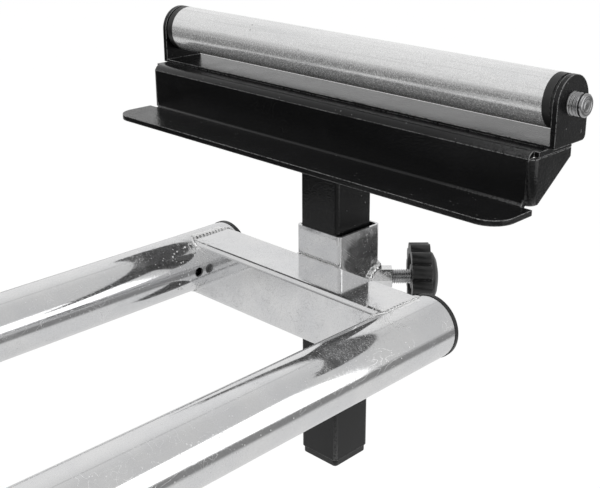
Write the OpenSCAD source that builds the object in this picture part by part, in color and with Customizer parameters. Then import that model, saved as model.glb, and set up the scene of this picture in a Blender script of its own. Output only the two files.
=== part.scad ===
// Miter saw stand with two telescoping ends. Each end carries a clamped support
// post with a work roller. Lengths are in millimetres and angles in degrees.

/* [Stand] */
// Height of the tube axes above the floor
axis_h = 750; // [600:10:900]
// Length of the two black main tubes
main_len = 960; // [900:10:1200]
// Distance between the front and the rear tube axes
tube_gap = 225; // [200:5:280]
// Main tube outer diameter
main_d = 60; // [56:1:62]
// Main tube wall
main_wall = 3; // [2:0.5:3]
// Rest distance from a main tube mouth to the plated tube's end
reach = 430; // [400:10:450]

/* [Extension ends] */
// Plated tube outer diameter
ext_d = 48; // [44:1:49]
// Plated tube wall
ext_wall = 2; // [1.5:0.5:2.5]
// Plated tube length
ext_len = 560; // [540:10:580]
// Crossbar width along the stand
bar_w = 43; // [40:1:50]
// Crossbar height
bar_h = 48; // [40:1:48]
// Crossbar top above the tube axis
bar_top = 22.7; // [21:0.1:23]
// Crossbar wall
bar_wall = 2.5; // [2:0.5:3]
// Crossbar outer face, back from the tube end
bar_inset = 2; // [1:0.5:4]
// Crossbar edge radius
bar_round = 4; // [3:0.5:5]
// Vent hole diameter in the inner side of each plated tube
vent_d = 8; // [6:0.5:9]
// Vent hole's centre to the crossbar's face
vent_gap = 5.5; // [5:0.5:12]
// Tube end cap flange thickness
cap_flange = 4; // [3:0.5:6]
// Tube end cap plug length
cap_plug = 14; // [10:1:20]
// Tube end cap flange overhang past the tube surface
cap_over = 0.5; // [0.2:0.1:1]

/* [Post sleeve] */
// Sleeve outer width
sleeve_w = 47.5; // [46.5:0.5:50]
// Sleeve wall
sleeve_wall = 2; // [1.8:0.1:2.1]
// Sleeve top above the tube axis
sleeve_top = 46.3; // [40:0.1:50]
// Sleeve bottom below the tube axis
sleeve_drop = 28; // [26:1:34]
// Sleeve corner radius
sleeve_round = 3.4; // [3:0.1:4]

/* [Support post] */
// Post width
post_w = 40; // [39:0.1:40.2]
// Post wall
post_wall = 2.5; // [2:0.5:3]
// Post corner radius
post_round = 3; // [2.6:0.1:3.5]
// Post lower end below the tube axis at rest
post_drop = 157; // [140:1:170]
// Post plug flange thickness
plug_flange = 6; // [4:0.5:8]
// Post plug length inside the post
plug_in = 16; // [10:1:22]
// Plug flange inset from each face of the post
plug_inset = 1; // [0.5:0.5:2]

/* [Roller bracket] */
// Folded plate thickness
plate = 4; // [3:0.5:4.5]
// Half length of the web and the upper flange
fold_half = 196; // [180:0.5:196]
// Half length of the lower flange
low_half = 198.5; // [190:0.5:202]
// Front face of the web, back from the tube end
web_front = 6.5; // [6.5:0.5:8]
// Lower flange top above the tube axis
low_top = 114; // [105:1:118]
// Lower flange front edge, back from the tube end
low_front = 46.8; // [42:0.2:50]
// Front corner radius of the lower flange
low_round = 18; // [10:1:22]
// Upper flange top above the tube axis
high_top = 150.5; // [146:0.5:156]
// Upper flange rear edge past the tube end
high_rear = 38.5; // [34:0.5:40]
// Inner bend radius of the folded plate
bend_in = 2; // [1.5:0.5:3]
// Notch length at each folded corner
notch = 0.5; // [0.5:0.5:2]
// Head plate half width
head_half = 32; // [26:1:40]
// Head plate reach past the post
head_over = 1.5; // [1:0.5:3]

/* [Ears and roller] */
// Roller axis past the tube end
roller_x = 29.4; // [28:0.2:31]
// Roller axis above the tube axis
roller_z = 178.2; // [176:0.2:184]
// Ear half width
ear_half = 19; // [16:0.5:19.5]
// Ear outer face from the middle plane
ear_out = 200; // [199.5:0.5:201]
// Ear rear lower corner radius
ear_round = 4; // [2:0.5:6]
// Thickness of the base strip that joins the two ears
strip_t = 2; // [1.5:0.5:3]
// Axle diameter
axle_d = 16; // [14:0.5:18]
// Axle stub past each ear
axle_stub = 10.5; // [6:0.5:14]
// Groove count on each stub
groove_n = 3; // [1:1:4]
// Groove depth
groove_deep = 0.8; // [0.4:0.1:1.2]
// Groove width
groove_w = 1.2; // [0.8:0.1:1.6]
// Roller diameter
roller_d = 37.8; // [34:0.2:38]
// Roller wall
roller_wall = 1.5; // [1.2:0.1:2]
// Half length of the roller's metal tube
roller_half = 187.8; // [170:0.2:188]
// Roller cap flange thickness
rcap_flange = 7.2; // [5:0.2:7.2]
// Roller cap plug length
rcap_plug = 15; // [10:1:20]

/* [Post clamp] */
// Clamp screw diameter
screw_d = 12; // [10:1:12]
// Clamp nut width across flats
nut_af = 16; // [16:1:18]
// Clamp nut outer end from the sleeve centre
nut_end = 44; // [42:1:46]
// Knob inner end from the sleeve centre
knob_near = 58.5; // [56:0.5:60]
// Knob thickness at its rim
knob_t = 16; // [14:1:18]
// Knob body diameter
knob_d = 46; // [44:1:46]
// Lobe count
lobes = 12; // [10:1:12]
// Lobe diameter
lobe_d = 13; // [12:1:14]
// Lobe centre inside the body's rim
lobe_sink = 1.5; // [1:0.5:2]
// Knob skirt thickness round the recess
skirt_t = 4; // [3:0.5:5]
// Knob hub diameter
hub_d = 20; // [18:1:22]
// Knob dome height
dome_h = 7; // [4:0.5:8]
// Knob recess depth
recess = 10; // [6:1:12]
// Pressure pad thickness
pad_t = 3; // [2:0.5:4]
// Pressure pad diameter
pad_d = 11; // [9:0.5:11.5]

/* [Extension lock] */
// Lock centre back from the main tube mouth
lock_back = 25; // [22:1:30]
// Lever pivot distance from the tube axis
lock_r = 43; // [42:0.5:45]
// Cam radius
cam_r = 11; // [10:0.5:11.5]
// Lever width
lever_w = 14; // [12:1:16]
// Lever length below its pivot
lever_len = 88; // [70:1:100]
// Lever thickness
lever_t = 8; // [6:0.5:9]
// Lever pivot pin diameter
lock_pin_d = 6; // [5:0.5:7]
// Shoe diameter
shoe_d = 12; // [10:0.5:13]

/* [Frame] */
// Crossmember centre back from the main tube mouth
cross_back = 50; // [40:1:60]
// Crossmember width and height
cross_w = 40; // [36:1:42]
// Crossmember wall
cross_wall = 2.5; // [2:0.5:3]
// Guide bush length inside the main tube
bush_len = 60; // [50:1:80]
// Guide bush flange thickness
bush_flange = 3; // [2:0.5:4]

/* [Legs] */
// Leg pivot back from the main tube mouth
leg_back = 80; // [78:1:85]
// Leg outward lean along the stand
leg_splay = 10; // [6:1:12]
// Leg outward lean across the stand
leg_tilt = 13; // [8:1:15]
// Leg width
leg_w = 35; // [32:1:36]
// Leg wall
leg_wall = 2; // [1.5:0.5:2.5]
// Leg corner radius
leg_round = 4; // [3:0.5:5]
// Leg pivot below the tube axis
pivot_drop = 62; // [60:1:66]
// Leg end above its pivot
leg_head = 20; // [19:0.5:21]
// Leg plane offset from the main tube axis
leg_offset = 21; // [20:0.5:23]
// Bracket cheek thickness
cheek_t = 4; // [3:0.5:5]
// Bracket cheek half width
cheek_half = 26; // [24:1:27]
// Bracket cheek lower end below the tube axis
cheek_low = 106; // [104:1:110]
// Bracket cheek lower corner radius
cheek_round = 12; // [8:1:14]
// Bracket cheek overlap up the side of the main tube
cheek_up = 6; // [4:1:8]
// Pivot bolt diameter
bolt_d = 10; // [8:1:10]
// Leg cam radius
leg_cam_r = 9; // [8:0.5:10]
// Leg cam width
leg_cam_w = 20; // [18:1:22]
// Leg lever length below its cross pin
leg_lever_len = 72; // [60:1:80]
// Leg lever thickness
leg_lever_t = 6; // [5:0.5:7]
// Leg cam cross pin diameter
cross_pin_d = 5; // [4:0.5:5]
// Foot wall
foot_wall = 5; // [4:0.5:6]
// Foot height up the leg
foot_up = 42; // [36:1:50]
// Leg end height above the floor
foot_gap = 16; // [14:1:20]
// Foot block below the leg end, before its sole is cut flat
foot_drop = 32; // [32:1:40]

/* [Saw mounts] */
// Mount rail distance from the stand's middle at rest
rail_x = 200; // [180:5:220]
// Mount rail width
rail_w = 50; // [44:1:54]
// Mount rail height
rail_h = 30; // [26:1:34]
// Mount rail wall
rail_wall = 2.5; // [2:0.5:3]
// Mount rail length
rail_len = 420; // [400:10:440]
// Saw bolt hole diameter
saw_hole_d = 9; // [7:0.5:9]
// Saw bolt hole distance from the middle plane
saw_hole_y = 165; // [160:1:175]
// Saddle half length across the stand
saddle_half = 24; // [22:1:26]
// Saddle lower edge above the tube axis
saddle_low = 6; // [4:1:10]

/* [Clearances] */
// Radial gap of a running fit
run_gap = 0.05; // [0.02:0.01:0.1]
// Gap beside a moving part
side_gap = 0.4; // [0.3:0.05:0.6]
// Gap at a face that clamps or rests
rest_gap = 0.3; // [0.2:0.05:0.4]
// Step at the rim of caps, pins and knobs
rim_step = 1; // [0.6:0.1:1.2]

/* [Hidden] */
$fn = 96;
main_r = main_d / 2;
ext_r = ext_d / 2;
end_x = main_len / 2 + reach;
sleeve_x = sleeve_w / 2 - bar_inset;
// Post axis, pushed by the clamp into the far corner of the sleeve
post_off = sleeve_w / 2 - sleeve_wall - post_w / 2 - rest_gap;
post_x = sleeve_x - post_off;
bend_out = bend_in + plate;
web_x = -web_front;
top_low = high_top - plate;
post_top = top_low - plate;
ear_in = ear_out - plate;
knob_far = knob_near + knob_t;
screw_in = post_w / sqrt(2) - (sqrt(2) - 1) * post_round + rest_gap - sqrt(2) * post_off;
pad_far = screw_in + pad_t;
cheek_in = leg_w / 2 + side_gap;
cheek_out = cheek_in + cheek_t;
pivot_pin_r = bolt_d / 2;
// Bolt head height and width across flats, as shares of the bolt diameter
head_share = 0.64;
flats_share = 1.7;
bolt_head = bolt_d * head_share;
bolt_af = bolt_d * flats_share;
// Lock fork cheek, as a share of the folded plate
fork_share = 0.75;
fork_t = plate * fork_share;
// Knob dome profile: radius as a share of the knob body, height as a share of the dome
dome_shares = [[0.42, 0.42], [0.31, 0.78], [0.17, 0.96], [0.06, 1]];
cross_x = main_len / 2 - cross_back;
leg_x = main_len / 2 - leg_back;
leg_cam_y = cheek_out + rest_gap + leg_cam_r;
// Overrun of a cut, and overlap of joined pieces
eps = main_wall / 3;

black = [0.09, 0.09, 0.10];
plated = [0.80, 0.81, 0.82];
zinc = [0.66, 0.67, 0.68];
plastic = [0.06, 0.06, 0.06];
rubber = [0.12, 0.12, 0.12];
brass = [0.72, 0.58, 0.30];

module at_right() {
  translate([end_x, 0, axis_h]) children();
}

module at_left() {
  rotate([0, 0, 180]) at_right() children();
}

module turned() {
  rotate([0, 0, 180]) children();
}

// Rod along X, Y or Z from one coordinate to another
module rod_x(r, from, to) {
  translate([from, 0, 0]) rotate([0, 90, 0]) cylinder(r = r, h = to - from);
}

module rod_y(r, from, to) {
  translate([0, from, 0]) rotate([-90, 0, 0]) cylinder(r = r, h = to - from);
}

module rod_z(r, from, to) {
  translate([0, 0, from]) cylinder(r = r, h = to - from);
}

// Upright bar with rounded corners, centred on X and Y
module round_bar(w, d, r, from, to) {
  translate([-w / 2 + r, -d / 2, from]) cube([w - r * 2, d, to - from]);
  translate([-w / 2, -d / 2 + r, from]) cube([w, d - r * 2, to - from]);
  for (sx = [-1, 1]) for (sy = [-1, 1])
    translate([sx * (w / 2 - r), sy * (d / 2 - r), 0]) rod_z(r, from, to);
}

// Upright square tube, open at both ends
module box_tube(w, d, r, wall, from, to) {
  difference() {
    round_bar(w, d, r, from, to);
    round_bar(w - wall * 2, d - wall * 2, r - wall + eps, from - eps, to + eps);
  }
}

// Lay an upright shape along Y
module along_y() {
  rotate([-90, 0, 0]) children();
}

module pipe_x(r, wall, from, to) {
  difference() {
    rod_x(r, from, to);
    rod_x(r - wall, from - eps, to + eps);
  }
}

// Main tubes and the parts fixed to them
module main_tube() {
  translate([0, -tube_gap / 2, axis_h]) difference() {
    pipe_x(main_r, main_wall, -main_len / 2, main_len / 2);
    translate([main_len / 2 - lock_back, 0, 0]) rod_y(shoe_d / 2, -main_r - eps, 0);
  }
}

module main_tube_front() {
  color(black) main_tube();
}

module main_tube_rear() {
  color(black) turned() main_tube();
}

module crossmember() {
  span = tube_gap / 2 - sqrt(main_r * main_r - cross_w * cross_w / 4) + eps / 2;
  translate([cross_x, 0, axis_h]) difference() {
    along_y() box_tube(cross_w, cross_w, bar_round, cross_wall, -span, span);
    for (s = [-1, 1]) translate([0, s * tube_gap / 2, 0]) rod_x(main_r, -cross_w, cross_w);
  }
}

module frame_crossmember_right() {
  color(black) crossmember();
}

module frame_crossmember_left() {
  color(black) turned() crossmember();
}

module bush() {
  mouth = main_len / 2;
  difference() {
    union() {
      rod_x(main_r - main_wall, mouth - bush_len, mouth + eps);
      rod_x(main_r, mouth, mouth + bush_flange);
    }
    rod_x(ext_r + run_gap, mouth - bush_len - eps, mouth + bush_flange + eps);
  }
}

module bush_pair() {
  translate([0, -tube_gap / 2, axis_h]) difference() {
    bush();
    translate([main_len / 2 - lock_back, 0, 0]) rod_y(shoe_d / 2, -main_r - eps, 0);
  }
  translate([0, tube_gap / 2, axis_h]) bush();
}

module guide_bushes() {
  color(plastic) {
    bush_pair();
    turned() bush_pair();
  }
}

// Lock frame: origin on the front tube axis at the lock centre
module at_lock() {
  translate([main_len / 2 - lock_back, -tube_gap / 2, axis_h]) children();
}

module lock_fork() {
  near = lever_w / 2 + rest_gap;
  far = near + fork_t;
  difference() {
    for (s = [-1, 1]) {
      x0 = s > 0 ? near : -far;
      translate([x0, -lock_r, -cam_r + rim_step])
        cube([fork_t, lock_r - main_r / 2, (cam_r - rim_step) * 2]);
      translate([0, -lock_r, 0]) rod_x(cam_r - rim_step, x0, x0 + fork_t);
    }
    rod_x(main_r, -main_d, main_d);
    translate([0, -lock_r, 0]) rod_x(lock_pin_d / 2, -main_d, main_d);
  }
  translate([0, -lock_r, 0]) rod_x(lock_pin_d / 2, -far - eps, far + eps);
}

module lock_forks() {
  color(zinc) {
    at_lock() lock_fork();
    turned() at_lock() lock_fork();
  }
}

module lock_shoe() {
  rod_y(shoe_d / 2, -lock_r + cam_r + rest_gap, -ext_r - rest_gap);
}

module lock_shoes() {
  color(brass) {
    at_lock() lock_shoe();
    turned() at_lock() lock_shoe();
  }
}

module lock_lever() {
  at_lock() translate([0, -lock_r, 0]) difference() {
    union() {
      rod_x(cam_r, -lever_w / 2, lever_w / 2);
      translate([-lever_w / 2, -cam_r, -lever_len + lever_t / 2])
        cube([lever_w, lever_t, lever_len - lever_t / 2]);
      translate([0, -cam_r + lever_t / 2, -lever_len + lever_t / 2])
        rod_x(lever_t / 2, -lever_w / 2, lever_w / 2);
    }
    rod_x(lock_pin_d / 2 + run_gap, -lever_w, lever_w);
  }
}

module lock_lever_right() {
  color(plastic) lock_lever();
}

module lock_lever_left() {
  color(plastic) turned() lock_lever();
}

// Leg frame: origin at the leg pivot, Y along the pivot bolt, side 1 right and -1 left
module at_leg(side) {
  translate([side * leg_x, -tube_gap / 2, axis_h]) rotate([-leg_tilt, 0, 0])
    translate([0, -side * leg_offset, -pivot_drop]) children();
}

module leaned(side) {
  rotate([0, -side * leg_splay, 0]) children();
}

function pivot_z(side) = axis_h + side * leg_offset * sin(leg_tilt) - pivot_drop * cos(leg_tilt);
function leg_run(side) = (pivot_z(side) - foot_gap) / (cos(leg_tilt) * cos(leg_splay));

module leg_bracket(side) {
  at_leg(side) difference() {
    union() {
      for (s = [-1, 1]) {
        y0 = s > 0 ? cheek_in : -cheek_out;
        rise = pivot_drop - main_r + (s == side ? cheek_up : 0);
        low = pivot_drop - cheek_low;
        translate([-cheek_half, y0, low + cheek_round])
          cube([cheek_half * 2, cheek_t, rise - low - cheek_round]);
        translate([-cheek_half + cheek_round, y0, low])
          cube([(cheek_half - cheek_round) * 2, cheek_t, cheek_round]);
        for (c = [-1, 1])
          translate([c * (cheek_half - cheek_round), 0, low + cheek_round])
            rod_y(cheek_round, y0, y0 + cheek_t);
      }
      translate([-cheek_half, -cheek_out, pivot_drop - main_r - cheek_t])
        cube([cheek_half * 2, cheek_out * 2, cheek_t + eps]);
    }
    translate([0, side * leg_offset, pivot_drop]) rod_x(main_r, -main_d, main_d);
    rod_y(pivot_pin_r, -cheek_out * 2, cheek_out * 2);
  }
}

module leg_brackets() {
  color(black) for (side = [-1, 1]) {
    leg_bracket(side);
    turned() leg_bracket(side);
  }
}

module leg_bolt(side) {
  at_leg(side) {
    rod_y(pivot_pin_r, -leg_cam_y, cheek_out + bolt_head);
    translate([0, cheek_out, 0]) rotate([-90, 0, 0])
      cylinder(d = bolt_af / cos(30), h = bolt_head, $fn = 6);
    translate([0, -leg_cam_y, 0]) {
      rod_x(pivot_pin_r, -pivot_pin_r, pivot_pin_r);
      rod_x(cross_pin_d / 2, -leg_cam_w / 2 - rim_step, leg_cam_w / 2 + rim_step);
    }
  }
}

module leg_bolts() {
  color(zinc) for (side = [-1, 1]) {
    leg_bolt(side);
    turned() leg_bolt(side);
  }
}

module leg(side) {
  at_leg(side) leaned(side) difference() {
    round_bar(leg_w, leg_w, leg_round, -leg_run(side), leg_head);
    round_bar(leg_w - leg_wall * 2, leg_w - leg_wall * 2, leg_round - leg_wall + eps,
      -leg_run(side) - eps, leg_head - leg_wall);
    rod_y(pivot_pin_r + run_gap, -leg_w, leg_w);
  }
}

module leg_front_right() {
  color(black) leg(1);
}

module leg_front_left() {
  color(black) leg(-1);
}

module leg_rear_left() {
  color(black) turned() leg(1);
}

module leg_rear_right() {
  color(black) turned() leg(-1);
}

module foot(side) {
  size = leg_w + foot_wall * 2;
  difference() {
    at_leg(side) leaned(side) difference() {
      round_bar(size, size, leg_round + foot_wall, -leg_run(side) - foot_drop, -leg_run(side) + foot_up);
      round_bar(leg_w, leg_w, leg_round, -leg_run(side), -leg_run(side) + foot_up + eps);
    }
    translate([-end_x, -end_x, -axis_h]) cube([end_x * 2, end_x * 2, axis_h]);
  }
}

module foot_front_right() {
  color(rubber) foot(1);
}

module foot_front_left() {
  color(rubber) foot(-1);
}

module foot_rear_left() {
  color(rubber) turned() foot(1);
}

module foot_rear_right() {
  color(rubber) turned() foot(-1);
}

// Cam lever on the outer end of a leg's pivot bolt
module leg_lever(side) {
  slot = pivot_pin_r + side_gap;
  at_leg(side) translate([0, -leg_cam_y, 0]) difference() {
    union() {
      rod_x(leg_cam_r, -leg_cam_w / 2, leg_cam_w / 2);
      translate([-leg_cam_w / 2, -leg_cam_r, -leg_lever_len + leg_lever_t / 2])
        cube([leg_cam_w, leg_lever_t, leg_lever_len - leg_lever_t / 2]);
      translate([0, -leg_cam_r + leg_lever_t / 2, -leg_lever_len + leg_lever_t / 2])
        rod_x(leg_lever_t / 2, -leg_cam_w / 2, leg_cam_w / 2);
    }
    rod_x(leg_cam_r + side_gap, -slot, slot);
    rod_x(cross_pin_d / 2 + run_gap, -leg_cam_w, leg_cam_w);
  }
}

module leg_lever_front_right() {
  color(zinc) leg_lever(1);
}

module leg_lever_front_left() {
  color(zinc) leg_lever(-1);
}

module leg_lever_rear_left() {
  color(zinc) turned() leg_lever(1);
}

module leg_lever_rear_right() {
  color(zinc) turned() leg_lever(-1);
}

// Saw mount rail across both main tubes
module mount_rail() {
  low = main_r + rest_gap + rim_step;
  translate([rail_x, 0, axis_h]) difference() {
    union() {
      difference() {
        translate([-rail_w / 2, -rail_len / 2, low]) cube([rail_w, rail_len, rail_h]);
        translate([-rail_w / 2 + rail_wall, -rail_len, low + rail_wall])
          cube([rail_w - rail_wall * 2, rail_len * 2, rail_h - rail_wall * 2]);
      }
      for (s = [-1, 1])
        translate([-rail_w / 2, s * tube_gap / 2 - saddle_half, saddle_low])
          cube([rail_w, saddle_half * 2, low - saddle_low]);
    }
    for (s = [-1, 1]) {
      translate([0, s * tube_gap / 2, 0]) rod_x(main_r + rest_gap, -rail_w, rail_w);
      translate([0, s * saw_hole_y, 0]) rod_z(saw_hole_d / 2, 0, low + rail_h + eps);
    }
  }
}

module mount_rail_right() {
  color(black) mount_rail();
}

module mount_rail_left() {
  color(black) turned() mount_rail();
}

// Right end, origin at the plated tubes' end in the middle plane at axis height
module ext_tube(s) {
  vent_from = s > 0 ? -ext_r - eps : ext_r / 2;
  translate([0, s * tube_gap / 2, 0]) difference() {
    pipe_x(ext_r, ext_wall, -ext_len, 0);
    translate([-bar_inset - bar_w - vent_gap, 0, 0])
      rod_y(vent_d / 2, vent_from, vent_from + ext_r / 2 + eps);
  }
}

module end_crossbar() {
  span = tube_gap / 2 - sqrt(ext_r * ext_r - bar_top * bar_top) - eps;
  difference() {
    translate([-bar_inset - bar_w / 2, 0, bar_top - bar_h / 2]) along_y()
      box_tube(bar_w, bar_h, bar_round, bar_wall, -span, span);
    for (s = [-1, 1]) translate([0, s * tube_gap / 2, 0]) rod_x(ext_r, -bar_w * 2, bar_w);
  }
}

module post_sleeve() {
  difference() {
    translate([sleeve_x, 0, 0])
      box_tube(sleeve_w, sleeve_w, sleeve_round, sleeve_wall, -sleeve_drop, sleeve_top);
    at_clamp() rod_y(screw_d / 2 + rest_gap, 0, nut_end);
  }
}

// Clamp frame: origin at the sleeve centre, Y out along the screw
module at_clamp() {
  translate([sleeve_x, 0, 0]) rotate([0, 0, -135]) children();
}

module clamp_nut() {
  difference() {
    at_clamp() rotate([-90, 0, 0]) cylinder(d = nut_af / cos(30), h = nut_end, $fn = 6);
    translate([sleeve_x, 0, 0]) round_bar(sleeve_w, sleeve_w, sleeve_round, -sleeve_drop, sleeve_top);
    at_clamp() rod_y(screw_d / 2 + run_gap, 0, nut_end + eps);
  }
}

module tube_end_caps() {
  for (s = [-1, 1]) translate([0, s * tube_gap / 2, 0]) {
    rod_x(ext_r - ext_wall, -cap_plug, eps);
    rod_x(ext_r + cap_over, 0, cap_flange - rim_step);
    rod_x(ext_r + cap_over - rim_step, 0, cap_flange);
  }
}

module support_post() {
  translate([post_x, post_off, 0]) box_tube(post_w, post_w, post_round, post_wall, -post_drop, post_top);
}

module post_plug() {
  inner = post_w - post_wall * 2;
  flange = post_w - plug_inset * 2;
  translate([post_x, post_off, 0]) {
    round_bar(flange, flange, post_round, -post_drop - plug_flange, -post_drop);
    round_bar(inner, inner, post_round - post_wall + eps, -post_drop - eps, -post_drop + plug_in);
  }
}

// Quarter ring about Y, kept in the quadrant given by the two signs
module bend_y(x, z, sx, sz, half) {
  translate([x, 0, z]) intersection() {
    difference() {
      rod_y(bend_out, -half, half);
      rod_y(bend_in, -half - eps, half + eps);
    }
    translate([sx > 0 ? 0 : -bend_out, -half, sz > 0 ? 0 : -bend_out])
      cube([bend_out, half * 2, bend_out]);
  }
}

module gusset(s) {
  y0 = s > 0 ? fold_half - plate : -fold_half;
  bend_x = web_x + bend_out;
  low = low_top + notch;
  high = top_low - notch;
  translate([0, y0 + plate, 0]) rotate([90, 0, 0]) linear_extrude(plate)
    polygon([[bend_x, low], [bend_x + bend_in, low], [high_rear, high - bend_out],
      [high_rear, high], [bend_x, high]]);
  translate([bend_x, s * (fold_half - bend_out), 0]) intersection() {
    difference() {
      rod_z(bend_out, low, high);
      rod_z(bend_in, low - eps, high + eps);
    }
    translate([-bend_out, s > 0 ? 0 : -bend_out, low]) cube([bend_out, bend_out, high - low]);
  }
}

module roller_bracket() {
  inner = fold_half - bend_out;
  top_bend = web_x + bend_out;
  low_bend = web_x - bend_in;
  low_z = low_top - plate;
  translate([top_bend, -fold_half, top_low]) cube([high_rear - top_bend, fold_half * 2, plate]);
  bend_y(top_bend, high_top - bend_out, -1, 1, fold_half - plate);
  translate([web_x, -inner + notch, low_top + bend_in])
    cube([plate, inner * 2 - notch * 2, high_top - bend_out - low_top - bend_in]);
  translate([web_x, -inner, low_top + bend_in * 2])
    cube([plate, inner * 2, top_low - notch - low_top - bend_in * 2]);
  bend_y(low_bend, low_top + bend_in, 1, -1, inner - notch);
  translate([-low_front, -low_half + low_round, low_z])
    cube([low_front + low_bend, low_half * 2 - low_round * 2, plate]);
  translate([-low_front + low_round, -low_half, low_z])
    cube([low_front + low_bend - low_round, low_half * 2, plate]);
  for (s = [-1, 1]) {
    translate([-low_front + low_round, s * (low_half - low_round), 0]) rod_z(low_round, low_z, low_top);
    gusset(s);
  }
}

module head_plate() {
  x0 = web_x + bend_out;
  translate([x0, -head_half, post_top])
    cube([sleeve_x + post_w / 2 + head_over - x0, head_half * 2, plate]);
}

module roller_ears() {
  translate([roller_x - ear_half, -ear_in, high_top]) cube([ear_half * 2, ear_in * 2, strip_t]);
  for (s = [-1, 1]) {
    y0 = s > 0 ? ear_in : -ear_out;
    difference() {
      union() {
        translate([roller_x, 0, roller_z]) rod_y(ear_half, y0, y0 + plate);
        translate([roller_x - ear_half, y0, high_top])
          cube([ear_half * 2 - ear_round, plate, roller_z - high_top]);
        translate([roller_x, y0, high_top + ear_round])
          cube([ear_half, plate, roller_z - high_top - ear_round]);
        translate([roller_x + ear_half - ear_round, 0, high_top + ear_round])
          rod_y(ear_round, y0, y0 + plate);
      }
      translate([roller_x, 0, roller_z]) rod_y(axle_d / 2, y0 - plate, y0 + plate * 2);
    }
  }
}

module roller_axle() {
  tip = ear_out + axle_stub;
  pitch = axle_stub / (groove_n + 1);
  translate([roller_x, 0, roller_z]) difference() {
    union() {
      rod_y(axle_d / 2, -tip + rim_step, tip - rim_step);
      rod_y(axle_d / 2 - rim_step, -tip, tip);
    }
    for (s = [-1, 1]) for (i = [1 : groove_n])
      translate([0, s * (ear_out + i * pitch), 0]) difference() {
        rod_y(axle_d, -groove_w / 2, groove_w / 2);
        rod_y(axle_d / 2 - groove_deep, -groove_w, groove_w);
      }
  }
}

module roller_tube() {
  translate([roller_x, 0, roller_z]) difference() {
    rod_y(roller_d / 2, -roller_half, roller_half);
    rod_y(roller_d / 2 - roller_wall, -roller_half - eps, roller_half + eps);
  }
}

module roller_end_caps() {
  translate([roller_x, 0, roller_z]) for (s = [0, 180]) rotate([0, 0, s]) difference() {
    union() {
      rod_y(roller_d / 2, roller_half, roller_half + rcap_flange - rim_step);
      rod_y(roller_d / 2 - rim_step, roller_half, roller_half + rcap_flange);
      rod_y(roller_d / 2 - roller_wall, roller_half - rcap_plug, roller_half + eps);
    }
    rod_y(axle_d / 2 + run_gap, roller_half - rcap_plug - eps, roller_half + rcap_flange + eps);
  }
}

module clamp_pad() {
  at_clamp() rod_y(pad_d / 2, screw_in, pad_far);
}

module clamp_screw() {
  at_clamp() rod_y(screw_d / 2, pad_far + rest_gap, knob_far - recess / 2);
}

module clamp_knob() {
  at_clamp() difference() {
    union() {
      difference() {
        union() {
          rod_y(knob_d / 2, knob_near, knob_far);
          for (i = [0 : lobes - 1])
            translate([sin(i * 360 / lobes), 0, cos(i * 360 / lobes)] * (knob_d / 2 - lobe_sink))
              rod_y(lobe_d / 2, knob_near, knob_far);
        }
        rod_y(knob_d / 2 - skirt_t, knob_near - eps, knob_near + recess);
      }
      rod_y(hub_d / 2, knob_near + rim_step, knob_near + recess + eps);
      translate([0, knob_far, 0]) rotate([-90, 0, 0]) rotate_extrude()
        polygon(concat([[0, -eps], [knob_d / 2 - rim_step, -eps]],
          [for (p = dome_shares) [p[0] * knob_d, p[1] * dome_h]], [[0, dome_h]]));
    }
    rod_y(screw_d / 2, knob_near - eps, knob_far - recess / 2);
  }
}

module extension_tube_front_right() {
  color(plated) at_right() ext_tube(-1);
}

module extension_tube_rear_right() {
  color(plated) at_right() ext_tube(1);
}

module end_crossbar_right() {
  color(plated) at_right() end_crossbar();
}

module post_sleeve_right() {
  color(plated) at_right() post_sleeve();
}

module clamp_nut_right() {
  color(plated) at_right() clamp_nut();
}

module tube_end_caps_right() {
  color(plastic) at_right() tube_end_caps();
}

module extension_tube_front_left() {
  color(plated) at_left() ext_tube(1);
}

module extension_tube_rear_left() {
  color(plated) at_left() ext_tube(-1);
}

module end_crossbar_left() {
  color(plated) at_left() end_crossbar();
}

module post_sleeve_left() {
  color(plated) at_left() post_sleeve();
}

module clamp_nut_left() {
  color(plated) at_left() clamp_nut();
}

module tube_end_caps_left() {
  color(plastic) at_left() tube_end_caps();
}

module support_post_right() {
  color(black) at_right() support_post();
}

module post_plug_right() {
  color(plastic) at_right() post_plug();
}

module roller_bracket_right() {
  color(black) at_right() roller_bracket();
}

module head_plate_right() {
  color(black) at_right() head_plate();
}

module roller_ears_right() {
  color(black) at_right() roller_ears();
}

module roller_axle_right() {
  color(zinc) at_right() roller_axle();
}

module support_post_left() {
  color(black) at_left() support_post();
}

module post_plug_left() {
  color(plastic) at_left() post_plug();
}

module roller_bracket_left() {
  color(black) at_left() roller_bracket();
}

module head_plate_left() {
  color(black) at_left() head_plate();
}

module roller_ears_left() {
  color(black) at_left() roller_ears();
}

module roller_axle_left() {
  color(zinc) at_left() roller_axle();
}

module roller_tube_right() {
  color(zinc) at_right() roller_tube();
}

module roller_end_caps_right() {
  color(plastic) at_right() roller_end_caps();
}

module roller_tube_left() {
  color(zinc) at_left() roller_tube();
}

module roller_end_caps_left() {
  color(plastic) at_left() roller_end_caps();
}

module clamp_pad_right() {
  color(brass) at_right() clamp_pad();
}

module clamp_screw_right() {
  color(zinc) at_right() clamp_screw();
}

module clamp_knob_right() {
  color(plastic) at_right() clamp_knob();
}

module clamp_pad_left() {
  color(brass) at_left() clamp_pad();
}

module clamp_screw_left() {
  color(zinc) at_left() clamp_screw();
}

module clamp_knob_left() {
  color(plastic) at_left() clamp_knob();
}

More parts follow.
